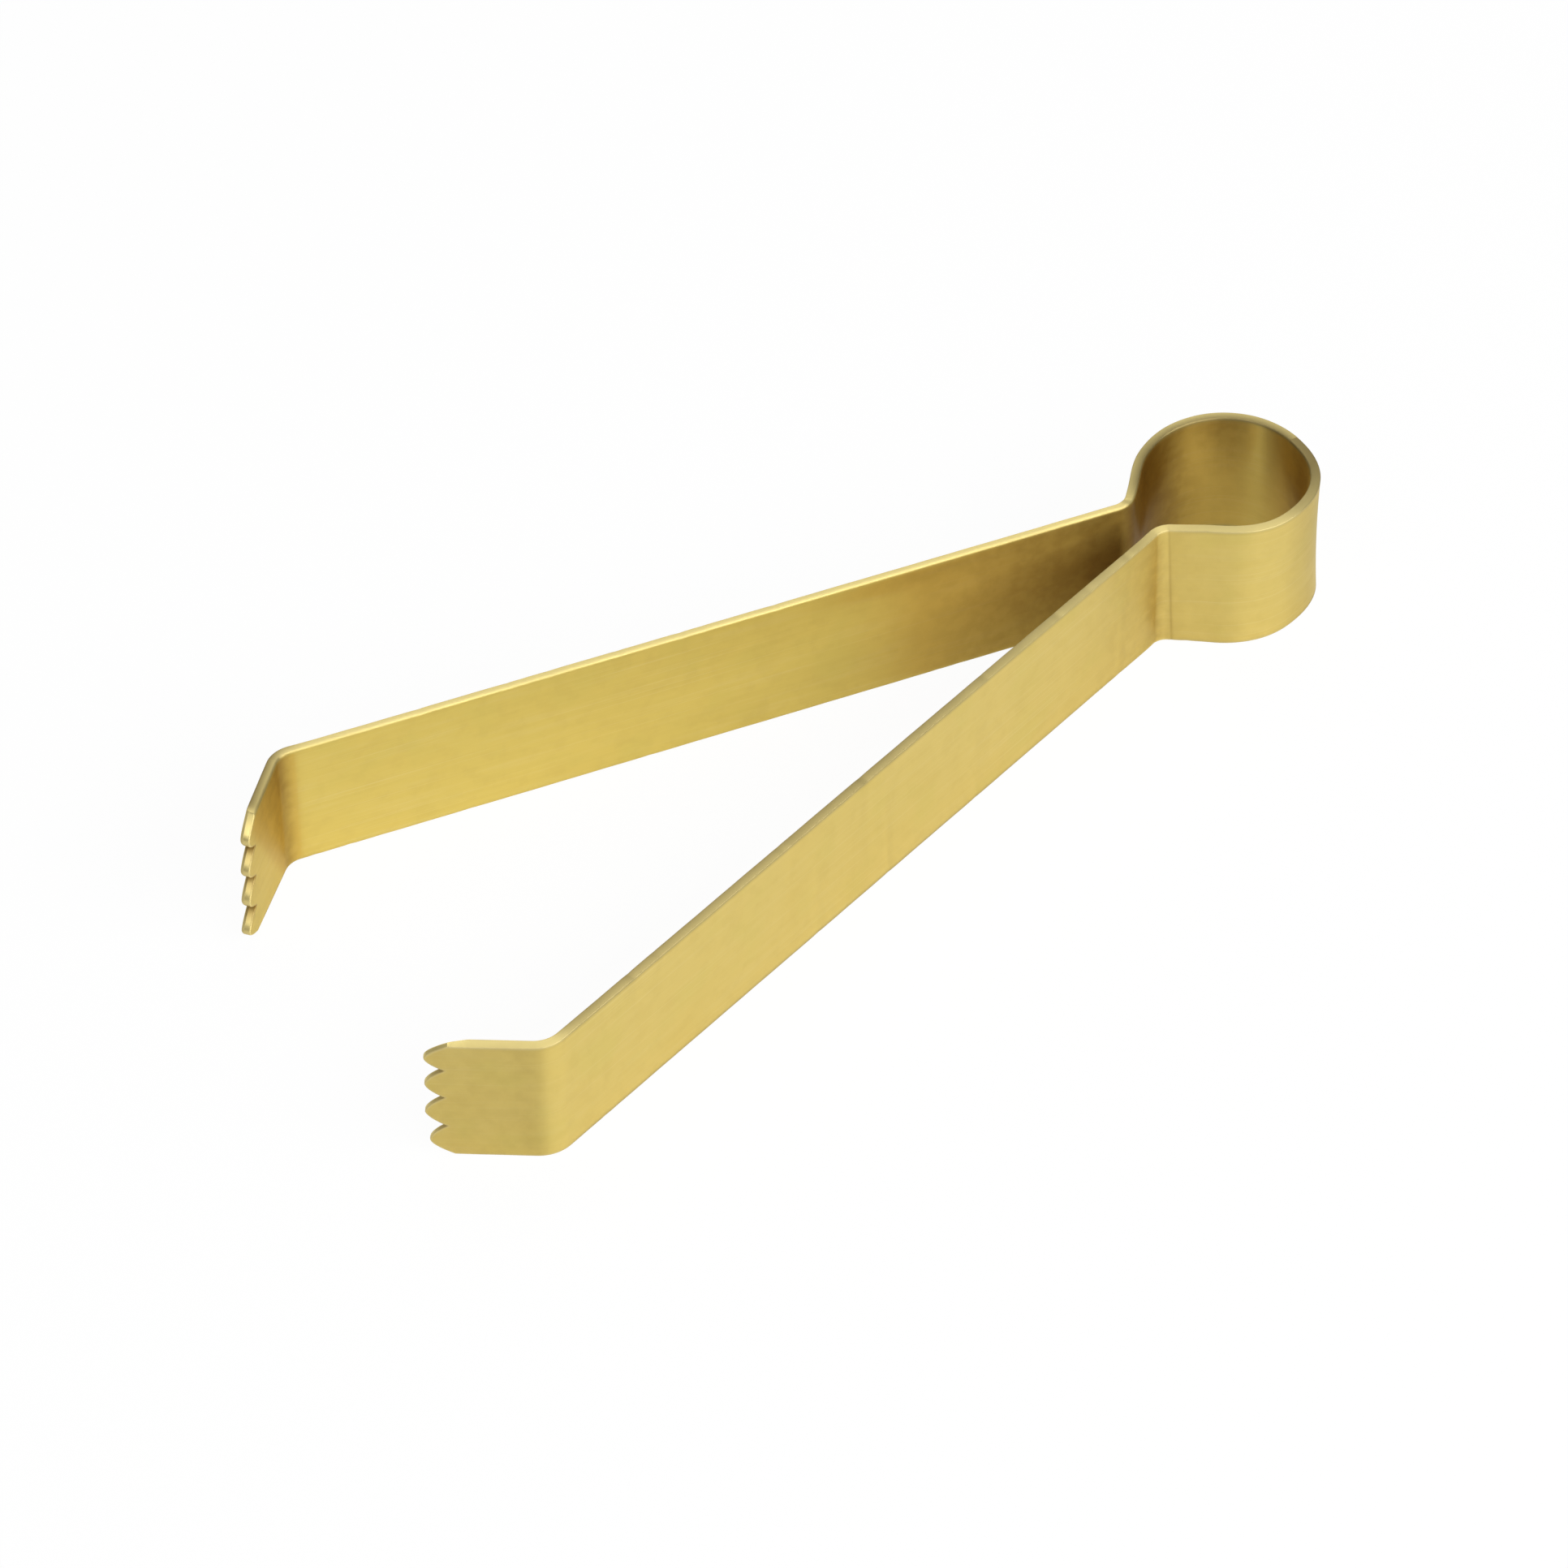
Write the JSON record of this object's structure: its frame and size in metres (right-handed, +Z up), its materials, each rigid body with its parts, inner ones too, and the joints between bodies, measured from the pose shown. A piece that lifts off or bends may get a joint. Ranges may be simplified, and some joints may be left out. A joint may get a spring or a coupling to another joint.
{
  "type": "incense tongs",
  "caption": "Sprung brass strip tongs with a round loop spring, flat splayed arms and toothed jaws turned inwards, for lifting hot charcoal and incense.",
  "frame": {"origin": "on the surface the tongs stand on, under the middle of their bounding box", "axes": "+X from the loop to the jaws, +Y to the left arm, +Z up across the strip's width"},
  "size_m": [0.1164, 0.0474, 0.015],
  "materials": {
    "loop_brass": "satin, brushed along the strip",
    "arm_brass": "satin, brushed along the strip"
  },
  "bodies": {
    "loop": {"spring_loop": "loop_brass"},
    "left_side": {"left_shoulder": "arm_brass", "left_arm": "arm_brass", "left_jaw": "arm_brass"},
    "right_side": {"right_shoulder": "arm_brass", "right_arm": "arm_brass", "right_jaw": "arm_brass"}
  },
  "joints": [
    {"name": "left_flex", "type": "hinge", "parent": "loop", "child": "left_side", "pos_m": [-0.0491, 0, 0], "axis": [0, 0, -1], "range_deg": [0, 8.3], "stiffness_Nm_per_rad": 2.8},
    {"name": "right_flex", "type": "hinge", "parent": "loop", "child": "right_side", "pos_m": [-0.0491, 0, 0], "axis": [0, 0, 1], "range_deg": [0, 8.3], "stiffness_Nm_per_rad": 2.8}
  ]
}
